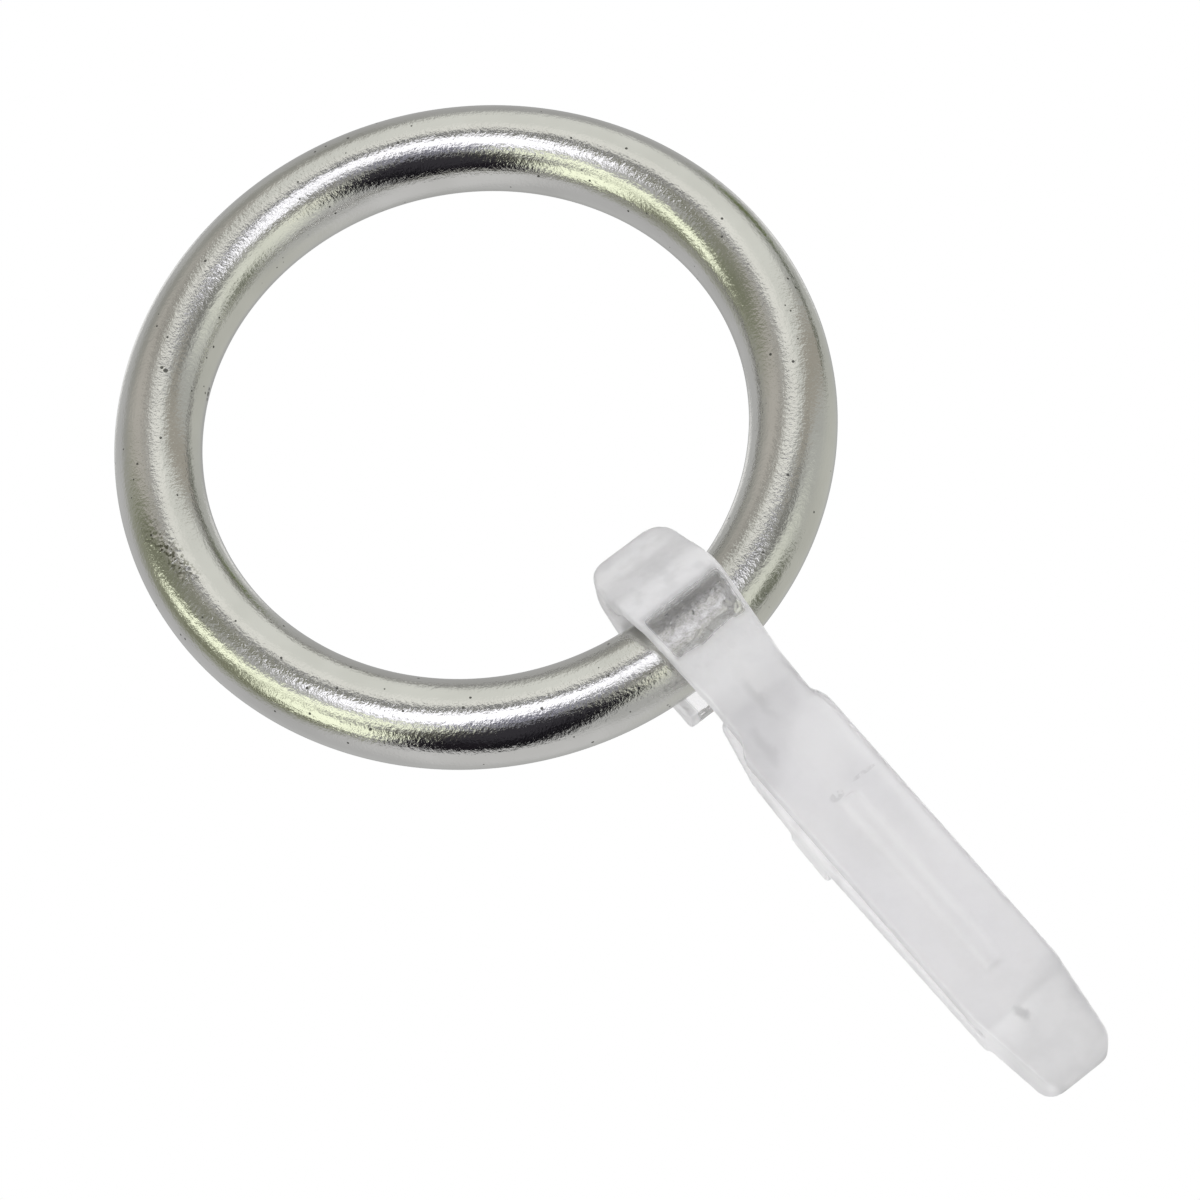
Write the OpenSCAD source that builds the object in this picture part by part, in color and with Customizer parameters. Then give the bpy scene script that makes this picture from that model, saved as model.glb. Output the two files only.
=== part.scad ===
// Curtain ring with hook: a closed ring of round plated wire, and a one-piece
// clear plastic hook whose head hangs on the wire. The origin is the middle of
// the ring, the ring's axis lies along Y, the front faces -Y and the hook hangs
// down along -Z. The hook hangs plumb, a little to one side of the ring's
// lowest point, so the wire passes through its loop slightly askew.

/* [Ring] */
// Inside diameter of the ring
ring_inner_d = 28; // [24:0.5:40]
// Thickness of the round wire
wire_d = 4.5; // [3.5:0.1:5.5]

/* [Hook] */
// Width of the hook at its head and body
hook_w = 5.2; // [4.6:0.1:6.4]
// Sideways distance from the ring's lowest point to the middle of the hook
hook_offset = 1.55; // [0:0.05:2]
// From the middle of the loop to the lower end of the hook
hook_drop = 29.8; // [28:0.2:36]
// Thickness of each of the two legs
leg_t = 1.15; // [0.9:0.05:1.3]

/* [Head] */
// From the middle of the loop to the top of the head
head_rise = 5.7; // [5:0.1:7]
// Material above the slot in the head
head_wall = 1.9; // [1.4:0.1:2.4]
// Width of the slot
slot_w = 1; // [0.6:0.1:1.4]
// Width of the head at its top
head_w = 4.9; // [4:0.1:5.2]
// Height above the middle of the loop up to which the head has its full width
head_full_rise = 1.2; // [0.5:0.1:2]
// Rounding of the head's top corners, seen from the front
head_corner_r = 1.5; // [0.4:0.1:1.8]
// Rounding over the top of the head, seen from the side
head_crown_r = 1; // [0.8:0.1:1.4]
// Wall of the loop in front of the wire and behind it
loop_wall = 0.9; // [0.8:0.1:1.5]
// Running clearance between the wire and the loop
loop_play = 0.14; // [0.1:0.02:0.3]
// How far the open end of the loop's back wall reaches below its middle
tab_drop = 2.9; // [2:0.1:3.2]
// Rounding of the lower edge of that wall
tab_edge_r = 0.2; // [0.1:0.05:0.4]
// How much narrower than the wire the mouth of the loop is
snap_grip = 0.2; // [0.05:0.05:0.5]

/* [Waist] */
// Width of the strap at the waist
waist_w = 4.3; // [3:0.1:4.6]
// From the middle of the loop down to the narrowest place
waist_drop = 4.6; // [4.4:0.1:5.6]
// How far the strap's middle stands in front of the ring's middle plane there
waist_front = 2; // [1.6:0.1:2.4]
// Rounding of the shoulders
shoulder_r = 1.5; // [1.2:0.1:1.8]
// From the middle of the loop down to where the shoulders reach full width
shoulder_drop = 8; // [7.6:0.1:9]

/* [Legs] */
// How far the front face stands in front of the ring's middle plane
face_front = 2; // [1.8:0.1:2.4]
// From the middle of the loop down to where the front face becomes flat
face_drop = 7.8; // [6:0.1:8]
// Thickness over both legs at the top of the gap
spread_t = 3.85; // [3.6:0.05:4.4]
// Thickness over both legs at the lower end
end_t = 2.75; // [2.5:0.05:3.4]
// From the lower end of the hook up to the lower end of the gap
end_l = 4.6; // [3.6:0.1:6]
// From the middle of the loop down to the bend of the back leg
bend_drop = 10.8; // [10:0.1:12]
// From the middle of the loop down to the free tip of the back leg
point_drop = 4.8; // [4.6:0.1:6.4]
// Width of the back leg at its free tip
point_w = 4.2; // [3:0.1:4.4]
// Thickness of the back leg at its free tip
point_t = 0.8; // [0.6:0.05:1]
// Clear mouth between the free tip and the strap
mouth_gap = 1.2; // [0.6:0.1:1.6]

/* [Nose] */
// Length of the nose on the back leg that holds the tape
nose_l = 2.9; // [2:0.1:4]
// Height of the nose at its lower, higher end
nose_h = 1.3; // [1:0.1:2]
// Height of the nose at its upper, lower end
nose_low_h = 1; // [0.6:0.1:1]
// Rounding of the nose's edges
nose_edge_r = 0.3; // [0.1:0.05:0.4]

/* [Rib] */
// Width of the rib down the front face
rib_w = 1.1; // [0.8:0.1:1.6]
// Height of the rib
rib_h = 0.35; // [0.2:0.05:0.5]
// From the middle of the loop down to the top of the rib
rib_top_drop = 12.4; // [11:0.2:14]
// Length of the rib
rib_l = 11; // [6:0.5:11.4]

/* [Tip] */
// Width of the lower end
tip_w = 4; // [3:0.1:4.4]
// Length over which the body narrows to the lower end
tip_l = 5.2; // [4:0.1:6]
// Rounding of the lower corners, seen from the front
tip_corner_r = 1; // [0.5:0.1:1.4]
// Rounding of the lower edge, seen from the side
tip_edge_r = 1.1; // [0.8:0.1:1.3]

/* [Hidden] */
$fn = 64;

// Angle in degrees between the points of a rounded corner
arc_angle = 10;

wire_r = wire_d / 2;
ring_r = ring_inner_d / 2 + wire_r;

// The wire inside the loop: its highest and lowest places, and between them
// the middle of the loop
wire_far_x = hook_offset + hook_w / 2;
wire_high_z = -sqrt(pow(ring_r - wire_r, 2) - pow(wire_far_x, 2));
wire_low_z = -(ring_r + wire_r);
loop_z = (wire_high_z + wire_low_z) / 2;
hole_r = (wire_high_z - wire_low_z) / 2 + loop_play;
loop_r = hole_r + loop_wall;
slot_r = slot_w / 2;
mouth_back = wire_r - snap_grip;

// The legs, seen from the side
leg_r = leg_t / 2;
back_y = spread_t - face_front;
end_y = end_t - face_front;
gap_drop = hook_drop - end_l;
root_drop = gap_drop + leg_r;
gap_end_r = (end_t - 2 * leg_t) / 2;
point_r = point_t / 2;
point_y = leg_r + point_r + mouth_gap - waist_front;

// Overrun of every cut
over = 1;

// Angle of the outward normal of the tangent on the right of circles a to b,
// each [x, y, r]
function tangent_angle(a, b) =
    let (dx = b[0] - a[0], dy = b[1] - a[1])
    atan2(dy, dx) - acos((a[2] - b[2]) / norm([dx, dy]));

// Arc of circle c, counter-clockwise from angle a to angle b
function arc(c, a, b) =
    let (turn = (b - a + 720) % 360, n = max(1, ceil(turn / arc_angle)))
    [for (i = [0:n]) [c[0], c[1]] + c[2] * [cos(a + turn * i / n), sin(a + turn * i / n)]];

// Convex outline round circles [x, y, r], listed counter-clockwise; a circle of
// no radius is a sharp corner
module rounded(circles) {
    n = len(circles);
    polygon([
        for (i = [0:n - 1])
            let (
                before = circles[(i + n - 1) % n],
                this = circles[i],
                after = circles[(i + 1) % n]
            )
            each this[2] > 0
                ? arc(this, tangent_angle(before, this), tangent_angle(this, after))
                : [[this[0], this[1]]]
    ]);
}

// Side profile [y, z], as wide as the hook
module across() {
    rotate([90, 0, 90])
        linear_extrude(height = hook_w, center = true) children();
}

// Front outline [x, z], deep enough for the whole hook
module through() {
    rotate([90, 0, 0])
        linear_extrude(height = 2 * (loop_r + spread_t + nose_h), center = true) children();
}

module ring() {
    color([0.75, 0.75, 0.71])
        rotate([90, 0, 0])
            rotate_extrude($fn = 128)
                translate([ring_r, 0]) circle(r = wire_r);
}

// Head, seen from the front, down to z = -drop, where it is bottom_w wide
module head_front(bottom_w, drop) {
    x = head_w / 2 - head_corner_r;
    z = head_rise - head_corner_r;
    rounded([
        [-bottom_w / 2, -drop, 0], [bottom_w / 2, -drop, 0],
        [hook_w / 2, head_full_rise, 0], [x, z, head_corner_r],
        [-x, z, head_corner_r], [-hook_w / 2, head_full_rise, 0]
    ]);
}

// Waist, shoulders, body and narrowed lower end, seen from the front
module body_front() {
    waist_x = waist_w / 2;
    body_x = hook_w / 2;
    shoulder_x = body_x - shoulder_r;
    tip_x = tip_w / 2 - tip_corner_r;
    tip_z = tip_corner_r - hook_drop;
    translate([-waist_x, -shoulder_drop]) square([waist_w, shoulder_drop - waist_drop]);
    rounded([
        [-tip_x, tip_z, tip_corner_r], [tip_x, tip_z, tip_corner_r],
        [body_x, tip_l - hook_drop, 0], [shoulder_x, -shoulder_drop, shoulder_r],
        [-shoulder_x, -shoulder_drop, shoulder_r], [-body_x, tip_l - hook_drop, 0]
    ]);
}

// Back leg with its narrowed free tip, seen from the front
module leg_front() {
    body_x = hook_w / 2;
    corner_r = point_r;
    point_x = point_w / 2 - corner_r;
    rounded([
        [-body_x, -root_drop, 0], [body_x, -root_drop, 0],
        [body_x, -shoulder_drop, 0], [point_x, -point_drop - corner_r, corner_r],
        [-point_x, -point_drop - corner_r, corner_r], [-body_x, -shoulder_drop, 0]
    ]);
}

// Drop-shaped loop with a straight back wall, cut off level at its open end
module loop_side() {
    crown = [0, head_rise - head_crown_r, head_crown_r];
    difference() {
        rounded([[0, 0, loop_r], crown]);
        translate([-loop_r - over, -loop_r - over])
            square([2 * (loop_r + over), loop_r + over]);
    }
    rounded([
        [0, -tab_drop, 0], [loop_r - tab_edge_r, tab_edge_r - tab_drop, tab_edge_r],
        [loop_r, head_full_rise, 0], [0, head_full_rise, 0]
    ]);
}

// The half of the loop behind the wire
module loop_back_side() {
    intersection() {
        loop_side();
        translate([0, -loop_r]) square([loop_r + over, loop_r + head_rise]);
    }
}

// The spring slot above the wire and the mouth below it
module slot_side() {
    rounded([
        [-slot_r, 0, 0], [slot_r, 0, 0],
        [0, head_rise - head_wall - slot_r, slot_r]
    ]);
    translate([0, -tab_drop - over]) square([mouth_back, tab_drop + over]);
}

// Front leg from the loop's front wall down, with the solid lower end in which
// the rounded end of the gap lies
module front_side() {
    root = [leg_r - face_front, -root_drop, leg_r];
    top = [leg_r - face_front, -face_drop, leg_r];
    waist = [-waist_front, -waist_drop, leg_r];
    wall = [-(hole_r + loop_wall / 2), 0, loop_wall / 2];
    back_root = [end_y - leg_r, -root_drop, leg_r];
    tip_front = [tip_edge_r - face_front, tip_edge_r - hook_drop, tip_edge_r];
    tip_back = [end_y - tip_edge_r, tip_edge_r - hook_drop, tip_edge_r];
    rounded([wall, waist]);
    rounded([waist, top]);
    rounded([top, root]);
    difference() {
        rounded([tip_front, tip_back, back_root, root]);
        translate([end_y - leg_t - gap_end_r, -gap_drop]) circle(r = gap_end_r);
    }
}

// Back leg from the lower end up to its bend, and on to its free tip, which
// leans towards the strap
module back_side() {
    root = [end_y - leg_r, -root_drop, leg_r];
    bend = [back_y - leg_r, -bend_drop, leg_r];
    point = [point_y, -point_drop - point_r, point_r];
    rounded([root, bend]);
    rounded([bend, point]);
}

// Nose on the outside of the back leg, higher at its lower end
module nose_side() {
    high_y = back_y + nose_h - nose_edge_r;
    low_y = back_y + nose_low_h - nose_edge_r;
    root_y = back_y - leg_r;
    end_z = -bend_drop - nose_l;
    rounded([
        [root_y, end_z, 0], [high_y, end_z + nose_edge_r, nose_edge_r],
        [low_y, -bend_drop - nose_edge_r, nose_edge_r], [root_y, -bend_drop, 0]
    ]);
}

// Low rounded rib down the middle of the front face
module rib() {
    r = (rib_w * rib_w / 4 + rib_h * rib_h) / (2 * rib_h);
    translate([0, r - face_front - rib_h, -rib_top_drop - rib_l])
        cylinder(r = r, h = rib_l);
}

module hook() {
    color([0.9, 0.9, 0.92, 0.6])
        translate([hook_offset, 0, loop_z])
            difference() {
                union() {
                    intersection() {
                        across() {
                            loop_side();
                            front_side();
                        }
                        through() {
                            head_front(waist_w, waist_drop);
                            body_front();
                        }
                    }
                    intersection() {
                        across() loop_back_side();
                        through() head_front(hook_w, tab_drop);
                    }
                    intersection() {
                        across() {
                            back_side();
                            nose_side();
                        }
                        through() leg_front();
                    }
                    rib();
                }
                across() slot_side();
                rotate([0, 90, 0])
                    cylinder(r = hole_r, h = hook_w + 2 * over, center = true);
            }
}

ring();
hook();
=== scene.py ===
import math

import bpy
from mathutils import Matrix, Vector


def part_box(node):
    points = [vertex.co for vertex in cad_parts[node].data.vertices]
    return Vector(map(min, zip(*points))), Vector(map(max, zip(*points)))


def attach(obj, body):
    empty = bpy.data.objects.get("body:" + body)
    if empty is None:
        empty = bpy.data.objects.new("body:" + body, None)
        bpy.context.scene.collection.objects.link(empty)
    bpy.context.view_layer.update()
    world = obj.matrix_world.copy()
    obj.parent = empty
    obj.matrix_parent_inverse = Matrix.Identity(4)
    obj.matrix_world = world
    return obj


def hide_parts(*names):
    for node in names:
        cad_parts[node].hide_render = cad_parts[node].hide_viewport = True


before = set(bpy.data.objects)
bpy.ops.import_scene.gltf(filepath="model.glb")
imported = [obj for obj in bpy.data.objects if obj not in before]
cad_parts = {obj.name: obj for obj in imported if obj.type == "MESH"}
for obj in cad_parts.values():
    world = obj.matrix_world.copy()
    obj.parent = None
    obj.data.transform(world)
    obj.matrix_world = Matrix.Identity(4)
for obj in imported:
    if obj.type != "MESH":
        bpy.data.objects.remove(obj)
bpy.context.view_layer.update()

MM = 0.001
MICRON = 0.000001
BLACK = (0, 0, 0, 1)
WHITE = (1, 1, 1, 1)

# The ring's wire, as in the solid it stands for
ring_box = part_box("ring")
WIRE_R = (ring_box[1].y - ring_box[0].y) / 2
RING_R = (ring_box[1].x - ring_box[0].x) / 2 - WIRE_R

# The middle of the hook's width
HOOK_X = 1.55 * MM
# Depth of the marks on the hook's front face, in millimetres
FRONT = -2.0


# Node helpers
class Nodes:
    """Short ways to add and join shader nodes in one tree."""

    def __init__(self, tree):
        self.tree = tree

    def add(self, kind, **values):
        node = self.tree.nodes.new(kind)
        for name, value in values.items():
            setattr(node, name, value)
        return node

    def put(self, socket, value):
        if hasattr(value, "is_linked"):
            self.tree.links.new(value, socket)
        else:
            socket.default_value = value

    def fill(self, node, *values):
        """Puts values into the node's first sockets and gives the node back."""
        for i, value in enumerate(values):
            self.put(node.inputs[i], value)
        return node

    def math(self, operation, *values):
        node = self.add("ShaderNodeMath", operation=operation)
        return self.fill(node, *values).outputs[0]

    def chain(self, operation, *values):
        result = values[0]
        for value in values[1:]:
            result = self.math(operation, result, value)
        return result

    def plus(self, *values):
        return self.chain("ADD", *values)

    def times(self, *values):
        return self.chain("MULTIPLY", *values)

    def most(self, *values):
        return self.chain("MAXIMUM", *values)

    def minus(self, a, b):
        return self.math("SUBTRACT", a, b)

    def vector(self, operation, *values):
        node = self.add("ShaderNodeVectorMath", operation=operation)
        self.fill(node, *values)
        gives_number = operation in ("DOT_PRODUCT", "LENGTH")
        return node.outputs["Value" if gives_number else "Vector"]

    def combine(self, x, y, z):
        return self.fill(self.add("ShaderNodeCombineXYZ"), x, y, z).outputs[0]

    def separate(self, value):
        return self.fill(self.add("ShaderNodeSeparateXYZ"), value).outputs

    def noise(self, where, scale, detail=3.0, roughness=0.5, output=0):
        """Scale is in features a metre."""
        node = self.add("ShaderNodeTexNoise")
        self.put(node.inputs["Vector"], where)
        node.inputs["Scale"].default_value = scale
        node.inputs["Detail"].default_value = detail
        node.inputs["Roughness"].default_value = roughness
        return node.outputs[output]

    def steps(self, value, low, high, out_low=0.0, out_high=1.0, smooth=True):
        """Out_low up to low, out_high from high on, and a slope between them."""
        kind = "SMOOTHSTEP" if smooth else "LINEAR"
        node = self.add("ShaderNodeMapRange", interpolation_type=kind)
        return self.fill(node, value, low, high, out_low, out_high).outputs[0]

    def above(self, value, low, high):
        """A zone, with its soft border from low to high in millimetres."""
        return self.steps(value, low * MM, high * MM)

    def below(self, value, low, high):
        """The zone that ends where above's begins."""
        return self.steps(value, low * MM, high * MM, 1.0, 0.0)

    def mix(self, share, a, b):
        node = self.add("ShaderNodeMix", data_type="RGBA")
        self.put(node.inputs[0], share)
        self.put(node.inputs[6], a)
        self.put(node.inputs[7], b)
        return node.outputs[2]

    def darken(self, colour, amount):
        """Amount 0 leaves the colour, and 1 makes it black."""
        return self.mix(amount, colour, BLACK)

    def background(self, colour):
        return self.fill(self.add("ShaderNodeBackground"), colour).outputs[0]

    def either(self, share, a, b):
        """Shader a where share is 0, and shader b where it is 1."""
        return self.fill(self.add("ShaderNodeMixShader"), share, a, b).outputs[0]

    def spot(self, where, place, reach, inner=0.7):
        """1 inside an ellipsoid given in millimetres, 0 outside it."""
        away = self.vector("SUBTRACT", where, [MM * c for c in place])
        away = self.vector("DIVIDE", away, [MM * c for c in reach])
        return self.steps(self.vector("LENGTH", away), inner, 1.1, 1.0, 0.0)

    def wavy(self, where, scale, reach):
        """The same place, moved about by up to half of reach in millimetres."""
        away = self.noise(where, scale, output="Color")
        away = self.vector("SUBTRACT", away, (0.5, 0.5, 0.5))
        away = self.vector("MULTIPLY", away, (reach * MM, reach * MM, reach * MM))
        return self.vector("ADD", where, away)

    def bump(self, height, microns, normal=None):
        """Relief that is so many thousandths of a millimetre high."""
        node = self.add("ShaderNodeBump")
        node.inputs["Strength"].default_value = 1.0
        node.inputs["Distance"].default_value = microns * MICRON
        self.put(node.inputs["Height"], height)
        if normal is not None:
            self.put(node.inputs["Normal"], normal)
        return node.outputs[0]


def new_material(name):
    material = bpy.data.materials.new(name)
    material.use_nodes = True
    nodes = Nodes(material.node_tree)
    shader = material.node_tree.nodes["Principled BSDF"]
    return material, nodes, shader


# Materials
def plated_wire():
    """Bright nickel plate on drawn wire: grainy, with draw marks, pits and rubs."""
    material, n, shader = new_material("plated_wire")
    where = n.add("ShaderNodeTexCoord").outputs["Object"]
    x, y, z = n.separate(where)
    turn = n.math("ARCTAN2", n.times(x, -1.0), z)
    radius = n.math("SQRT", n.plus(n.times(x, x), n.times(z, z)))
    # Along the wire in x, and round it in y and z, all in metres
    wire = n.combine(n.times(turn, RING_R), n.minus(radius, RING_R), y)

    grain = n.noise(where, 5800.0, roughness=0.6)
    ripple = n.noise(where, 1500.0, detail=2.0)
    stretched = n.vector("MULTIPLY", wire, (0.12, 1.0, 1.0))
    drawn = n.noise(stretched, 5200.0, detail=2.0, roughness=0.6)
    blotch = n.noise(where, 260.0, roughness=0.55)
    rub = n.noise(where, 700.0, detail=4.0, roughness=0.6)

    # Sparse dark pits
    cells = n.add("ShaderNodeTexVoronoi", feature="F1")
    n.put(cells.inputs["Vector"], where)
    cells.inputs["Scale"].default_value = 1700.0
    chance = n.separate(cells.outputs["Color"])[0]
    size = n.steps(chance, 0.42, 1.0, 0.0, 0.13)
    pit = n.math("LESS_THAN", cells.outputs["Distance"], size)
    # Two larger pits on the front and a nick on the inner side
    for place, reach in (
        ((-10.64, -2.24, 12.07), 0.09),
        ((-10.58, -2.22, 11.81), 0.13),
        ((-9.15, -0.06, 10.60), 0.10),
        ((-9.36, -0.02, 10.42), 0.15),
        ((-9.56, 0.03, 10.23), 0.11),
    ):
        pit = n.most(pit, n.spot(where, place, (reach, reach, reach)))

    dull_plate, bright_plate = (0.58, 0.575, 0.545, 1), (0.63, 0.625, 0.595, 1)
    tint = n.mix(n.steps(blotch, 0.3, 0.7), dull_plate, bright_plate)
    tint = n.mix(n.times(pit, 0.85), tint, (0.05, 0.05, 0.045, 1))
    # A worn, speckled patch on the front
    drift = n.wavy(where, 700.0, 1.5)
    worn = n.spot(drift, (-16.35, -2.1, 3.4), (0.75, 1.2, 3.0), 0.2)
    specks = n.noise(where, 5500.0, detail=2.0, roughness=0.6)
    speck = n.times(n.steps(specks, 0.52, 0.58, 0.0, 0.8), worn)
    tint = n.mix(speck, tint, (0.09, 0.09, 0.05, 1))
    n.put(shader.inputs["Base Color"], tint)
    shader.inputs["Metallic"].default_value = 1.0
    rubbed = n.steps(rub, 0.35, 0.75, 0.025, 0.07)
    n.put(shader.inputs["Roughness"], n.plus(rubbed, n.times(pit, 0.4)))

    coarse = n.times(n.noise(where, 3400.0, detail=1.0), worn)
    normal = n.bump(grain, 18)
    normal = n.bump(coarse, 60, normal)
    normal = n.bump(ripple, 11, normal)
    normal = n.bump(drawn, 7, normal)
    normal = n.bump(n.minus(1.0, pit), 20, normal)
    n.put(shader.inputs["Normal"], normal)
    return material


def clear_plastic():
    """Clear, slightly milky moulding: polished round the wire, frosted elsewhere."""
    material, n, shader = new_material("clear_plastic")
    where = n.add("ShaderNodeTexCoord").outputs["Object"]
    stretched = n.vector("MULTIPLY", where, (1.0, 1.0, 0.35))
    flow = n.noise(stretched, 420.0, roughness=0.55)
    cloud = n.noise(where, 900.0)
    wave = n.noise(where, 1500.0, detail=2.0, roughness=0.6)
    fine = n.noise(where, 4200.0, detail=2.0)
    drift = n.wavy(where, 900.0, 1.1)

    # Zones by height: head, polished loop, legs, lower end
    x, depth, height = n.separate(where)
    head = n.above(height, -15.9, -14.8)
    legs = n.below(height, -20.3, -18.7)
    polish = n.minus(n.minus(1.0, legs), head)
    end = n.below(height, -42.0, -39.0)
    # The lower part of the head is the milkiest
    dense = n.times(head, n.below(height, -14.2, -13.0))
    # Milky again on the front, from the wire's middle down to the strap
    veil = n.below(n.separate(drift)[2], -18.2, -17.7)
    veil = n.times(veil, n.above(height, -22.0, -20.0), n.below(depth, -1.5, -1.0))
    # The strap and the tip, whose borders slant across the hook
    slope = n.times(n.minus(x, HOOK_X), 0.78)
    strap = n.times(n.above(n.minus(height, slope), -24.5, -23.1), legs)
    slope = n.times(n.minus(x, 1.9 * MM), 0.45)
    tip = n.below(n.minus(height, slope), -42.4, -40.6)
    # Dull rounded sides of the polished part, which widens upwards
    side = n.math("ABSOLUTE", n.minus(x, HOOK_X))
    half = n.steps(height, -20.5 * MM, -14.7 * MM, 2.15 * MM, 2.6 * MM, smooth=False)
    rim = n.times(n.below(n.minus(half, side), 0.1, 0.4), polish)
    # Sides and rounded edges of the legs, and the flat sides alone
    facing = n.add("ShaderNodeTexCoord").outputs["Normal"]
    sideways = n.math("ABSOLUTE", n.separate(facing)[0])
    flank = n.times(n.steps(sideways, 0.25, 0.75), legs)
    wall = n.times(n.steps(sideways, 0.7, 0.95), legs)

    # Clouds in the plastic: fine ones all over, larger ones where they show
    milky, clear = (0.968, 0.963, 0.976, 1), (1.0, 0.994, 1.0, 1)
    tint = n.mix(n.steps(flow, 0.35, 0.65), milky, clear)
    amount = n.plus(n.times(head, 0.07), 0.05)
    tint = n.darken(tint, n.times(n.steps(cloud, 0.32, 0.62, 1.0, 0.0), amount))
    for place, reach, amount in (
        ((1.37, -2.2, -21.8), (0.42, 1.2, 1.5), 0.15),
        ((0.05, -2.2, -23.9), (0.50, 1.2, 1.6), 0.15),
        ((0.30, FRONT, -30.2), (0.80, 0.8, 2.2), 0.07),
        ((0.55, FRONT, -37.6), (0.50, 0.8, 2.0), 0.06),
    ):
        tint = n.darken(tint, n.times(n.spot(drift, place, reach, 0.2), amount))
    # Painted light: a lighter upper body, and a painted highlight along the ridge of the
    # rib
    body = n.spot(drift, (2.2, FRONT, -25.4), (1.9, 0.9, 2.6), 0.2)
    bent = n.wavy(where, 500.0, 0.25)
    painted_ridge_highlight = n.spot(bent, (1.80, -2.1, -33.4), (0.30, 0.6, 5.8), 0.3)
    # Both lift the tint towards white as painted light
    tint = n.mix(n.most(n.times(body, 0.8), painted_ridge_highlight), tint, WHITE)
    # Duller tip, strap and flat sides
    for zone, amount in ((tip, 0.12), (strap, 0.07), (wall, 0.10)):
        tint = n.darken(tint, n.times(zone, amount))
    # Painted shade in the gate mark's dimple on the lower end, and two scuffs on the
    # front face
    ragged = n.wavy(where, 1800.0, 0.5)
    gate_dimple_shade = n.spot(ragged, (0.96, FRONT, -41.95), (0.36, 0.6, 0.62), 0.3)
    long_scuff = n.spot(where, (2.93, FRONT, -27.86), (0.85, 0.5, 0.13))
    round_scuff = n.spot(where, (1.14, FRONT, -28.0), (0.45, 0.5, 0.27))
    scuff = n.times(n.most(long_scuff, round_scuff), n.steps(fine, 0.35, 0.6, 0.0, 0.24))
    # The gate mark's darkening is painted shade; the scuffs are wear
    tint = n.darken(tint, n.most(n.times(gate_dimple_shade, 0.30), scuff))
    n.put(shader.inputs["Base Color"], tint)

    # How much each zone adds to the roughness, and to the share of light that
    # the plastic scatters instead of letting it through
    def added(*rows):
        return n.plus(*[n.times(zone, share) for zone, share in rows])

    frost = added((legs, 0.50), (head, 0.45), (rim, 0.35), (flank, 0.2),
                  (n.times(veil, polish), 0.4))
    uneven = n.steps(cloud, 0.3, 0.7, -0.02, 0.05)
    n.put(shader.inputs["Roughness"], n.plus(frost, 0.05, uneven))
    milk = added((legs, 0.10), (head, 0.45), (end, 0.40), (flank, 0.4),
                 (dense, 0.25), (n.most(rim, veil), 0.55))
    n.put(shader.inputs["Transmission Weight"], n.minus(0.95, milk))
    shader.inputs["IOR"].default_value = 1.49

    normal = n.bump(flow, 50)
    normal = n.bump(cloud, 12, normal)
    normal = n.bump(n.times(wave, polish), 140, normal)
    normal = n.bump(fine, 2, normal)
    n.put(shader.inputs["Normal"], normal)
    return material


# Pieces
def show(name, mesh):
    piece = bpy.data.objects.new(name, mesh)
    bpy.context.scene.collection.objects.link(piece)
    return piece


def ring_piece(material, along=256, around=56):
    """The closed wire, finer than the solid's own mesh."""
    points, faces = [], []
    for i in range(along):
        a = 2 * math.pi * i / along
        here, after = i * around, (i + 1) % along * around
        for j in range(around):
            b = 2 * math.pi * j / around
            reach = RING_R + WIRE_R * math.cos(b)
            depth = WIRE_R * math.sin(b)
            points.append((reach * math.sin(a), depth, reach * math.cos(a)))
            k = (j + 1) % around
            faces.append((here + j, after + j, after + k, here + k))
    mesh = bpy.data.meshes.new("ring_wire")
    mesh.from_pydata(points, [], faces)
    mesh.validate()
    mesh.shade_smooth()
    mesh.materials.append(material)
    return show("ring_wire", mesh)


def hook_piece(node, material, voxel=0.11, merge=0.0005, rounds=12):
    """The hook's solid with the softly rounded edges of a moulding.

    It is worked on in millimetres, and voxel and merge are in them too."""
    mesh = node.data.copy()
    mesh.transform(Matrix.Scale(1 / MM, 4))
    rough = show("hook_rough", mesh)
    weld = rough.modifiers.new("weld", "WELD")
    weld.merge_threshold = merge
    remesh = rough.modifiers.new("remesh", "REMESH")
    remesh.mode = "VOXEL"
    remesh.voxel_size = voxel
    soft = rough.modifiers.new("soft", "SMOOTH")
    soft.factor = 0.5
    soft.iterations = rounds
    finished = rough.evaluated_get(bpy.context.evaluated_depsgraph_get())
    shape = bpy.data.meshes.new_from_object(finished)
    bpy.data.objects.remove(rough)
    shape.name = "hook_moulding"
    shape.transform(Matrix.Scale(MM, 4))
    shape.shade_smooth()
    shape.materials.clear()
    shape.materials.append(material)
    return show("hook_moulding", shape)


ring = ring_piece(plated_wire())
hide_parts("ring")
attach(ring, "ring")

hook = hook_piece(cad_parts["hook"], clear_plastic())
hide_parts("hook")
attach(hook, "hook")


# Studio and floor
def direction(azimuth, elevation):
    """Azimuth 0 is the front, -Y, and 90 is +X."""
    a, e = math.radians(azimuth), math.radians(elevation)
    return Vector((math.sin(a) * math.cos(e), -math.cos(a) * math.cos(e), math.sin(e)))


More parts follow.
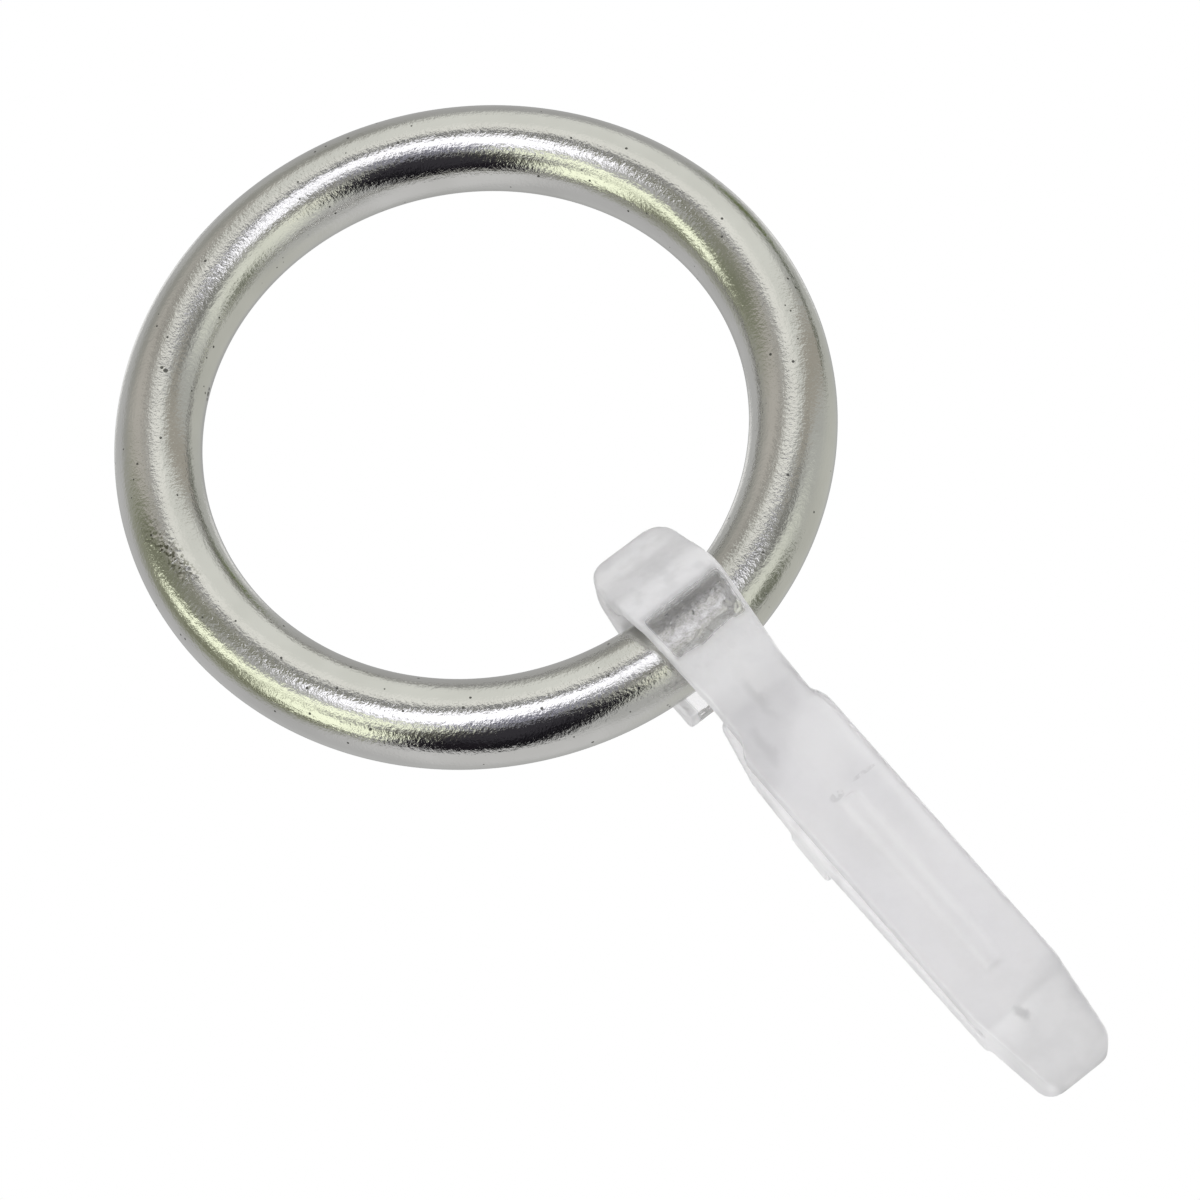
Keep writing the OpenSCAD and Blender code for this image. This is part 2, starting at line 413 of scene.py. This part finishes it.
# Soft patches of light and shade for the plate to mirror, each over the ones
# before it. Azimuth, elevation, width, height and roll are in degrees, edge is
# the softness of the border, and the last is the colour
PATCHES = (
    (0, 75, 80, 40, 0, 0.8, (0.32, 0.32, 0.30)),
    (130, 50, 70, 44, 0, 0.6, (0.40, 0.40, 0.40)),
    (-140, -45, 80, 50, 0, 0.6, (0.635, 0.635, 0.65)),
    (130, -28, 70, 60, 0, 0.7, (0.53, 0.535, 0.50)),
    (-15, 50, 60, 40, 0, 0.8, (0.50, 0.48, 0.45)),
    (46, 35, 65, 54, 0, 0.25, (0.76, 0.77, 0.74)),
    (20, 22, 22, 24, 0, 0.35, (0.88, 0.88, 0.85)),
    (0, 48, 11, 26, 0, 0.5, (0.33, 0.32, 0.30)),
    (65, -2, 68, 15, 0, 0.25, (0.38, 0.36, 0.32)),
    (-75, 18, 60, 70, 0, 0.5, (0.28, 0.29, 0.22)),
    (-88, 2, 8, 56, 0, 0.5, (0.18, 0.185, 0.13)),
    (-38, 33, 60, 18, -25, 0.4, (0.22, 0.23, 0.17)),
    (-14, 20, 44, 10, -28, 0.5, (0.26, 0.26, 0.22)),
    (30, -50, 60, 40, 0, 0.8, (0.80, 0.82, 0.74)),
    (-48, -25, 30, 10, 0, 0.5, (0.12, 0.12, 0.09)),
    (-71, -49, 38, 42, 0, 0.15, (0.014, 0.012, 0.016)),
    (-30, -46, 44, 38, 0, 0.15, (0.040, 0.038, 0.046)),
    (-53, -63, 50, 18, 0, 0.2, (0.010, 0.009, 0.012)),
    (-13, -20, 27, 13, 0, 0.4, (0.24, 0.24, 0.31)),
    (10, -31, 22, 10, 0, 0.5, (0.20, 0.19, 0.18)),
    (10, -47, 8, 8, 0, 0.5, (1.0, 1.0, 0.85)),
    (36, -17, 16, 20, 0, 0.5, (0.21, 0.21, 0.20)),
    (83, -54, 30, 15, 0, 0.5, (0.17, 0.18, 0.14)),
    (103, 24, 17, 12, 0, 0.4, (0.15, 0.18, 0.08)),
    (100, 8, 7, 30, 0, 0.4, (0.07, 0.08, 0.05)),
    (-70, -10, 24, 30, 0, 0.1, (1.18, 1.24, 0.98)),
    (-52.5, 8, 14, 66, 38, 0.15, (1.22, 1.28, 1.02)),
    (13, 9, 9, 38, 38, 0.4, (0.15, 0.15, 0.17)),
    (-12, 0, 27, 24, 0, 0.1, (1.5, 1.5, 1.64)),
    (11, -7, 14, 32, 22, 0.15, (1.4, 1.4, 1.52)),
    (169, 22, 44, 44, 0, 0.6, (0.36, 0.36, 0.36)),
    (140, 21, 12, 13, 0, 0.4, (0.8, 0.8, 0.8)),
    (-178, 45, 14, 18, 0, 0.4, (0.8, 0.8, 0.8)),
)
# The plate mirrors only part of the light, so the patches are this much brighter
PATCH_GAIN = 1.28
# Colour of the room between the patches, on the left and on the right
LEFT, RIGHT = (0.64, 0.64, 0.66, 1), (0.58, 0.59, 0.57, 1)
# Light that dull surfaces scatter
SCATTERED = (0.97, 0.97, 0.97, 1)
# White added to the light that comes through the plastic by way of a reflection
THROUGH_WHITE = 0.5


def patch_share(n, way, azimuth, elevation, width, height, roll, edge):
    """1 on a patch, which is a rectangle with rounded corners, and 0 off it."""
    middle = direction(azimuth, elevation)
    a = math.radians(azimuth)
    side = Vector((math.cos(a), math.sin(a), 0))
    up = side.cross(middle) * -1
    turn = Matrix.Rotation(math.radians(roll), 3, middle)
    ahead = n.most(n.vector("DOT_PRODUCT", way, middle), 0.0001)
    fourths = []
    for axis, angle in ((turn @ side, width), (turn @ up, height)):
        reach = n.times(ahead, math.tan(math.radians(angle / 2)))
        part = n.math("DIVIDE", n.vector("DOT_PRODUCT", way, axis), reach)
        fourths.append(n.math("POWER", n.math("ABSOLUTE", part), 4.0))
    outline = n.math("POWER", n.plus(*fourths), 0.25)
    return n.steps(outline, 1 - edge, 1 + edge, 1.0, 0.0)


def studio():
    world = bpy.data.worlds.new("studio")
    bpy.context.scene.world = world
    # Sampled as a lamp, the world would not know which kind of ray meets it
    world.cycles.sampling_method = "NONE"
    world.use_nodes = True
    world.node_tree.nodes.clear()
    n = Nodes(world.node_tree)
    way = n.add("ShaderNodeTexCoord").outputs["Generated"]
    light = n.mix(n.steps(n.separate(way)[0], -1.0, 1.0), LEFT, RIGHT)
    for *form, colour in PATCHES:
        brighter = (*[PATCH_GAIN * c for c in colour], 1)
        light = n.mix(patch_share(n, way, *form), light, brighter)

    path = n.add("ShaderNodeLightPath").outputs
    through = path["Is Transmission Ray"]
    light = n.mix(n.times(through, THROUGH_WHITE), light, WHITE)
    # White behind the plastic too, but not where the ring mirrors the studio
    straight = n.math("LESS_THAN", path["Glossy Depth"], 0.5)
    seen = n.most(path["Is Camera Ray"], n.times(through, straight))
    # Shaders are mixed, because mixed colours would be worked out for all rays
    shader = n.background(light)
    shader = n.either(path["Is Diffuse Ray"], shader, n.background(SCATTERED))
    shader = n.either(seen, shader, n.background(WHITE))
    n.fill(n.add("ShaderNodeOutputWorld"), shader)


def floor(half=1.5, z=-0.13):
    """A plain pale floor below the hook, 2 * half wide, all in metres."""
    material, n, shader = new_material("floor")
    shader.inputs["Base Color"].default_value = (0.9, 0.9, 0.9, 1)
    shader.inputs["Roughness"].default_value = 0.9
    seen = n.add("ShaderNodeLightPath").outputs["Is Camera Ray"]
    shader.inputs["Emission Color"].default_value = WHITE
    n.put(shader.inputs["Emission Strength"], n.times(seen, 0.2))
    corners = [(-half, -half, z), (half, -half, z), (half, half, z), (-half, half, z)]
    mesh = bpy.data.meshes.new("floor")
    mesh.from_pydata(corners, [], [(0, 1, 2, 3)])
    mesh.materials.append(material)
    piece = show("floor", mesh)
    piece.visible_glossy = False
    piece.visible_transmission = False


def camera():
    """The photograph's view: from below and in front, rolled to one side.

    Its place, directions and lens were fitted to the ring's two outlines."""
    data = bpy.data.cameras.new("camera")
    data.sensor_fit = "HORIZONTAL"
    data.sensor_width = 36.0
    data.lens = 124.474
    data.clip_start = 0.005
    data.clip_end = 20.0
    piece = show("camera", data)
    place = Vector((-37.9254, -188.8097, -87.3450)) * MM
    ahead = Vector((0.178935, 0.913307, 0.365858)).normalized()
    up = Vector((0.590536, -0.397124, 0.702537))
    right = ahead.cross(up).normalized()
    up = right.cross(ahead)
    piece.matrix_world = Matrix((
        (right.x, up.x, -ahead.x, place.x),
        (right.y, up.y, -ahead.y, place.y),
        (right.z, up.z, -ahead.z, place.z),
        (0, 0, 0, 1),
    ))
    bpy.context.scene.camera = piece


studio()
floor()
camera()
bpy.context.scene.view_settings.view_transform = "Standard"
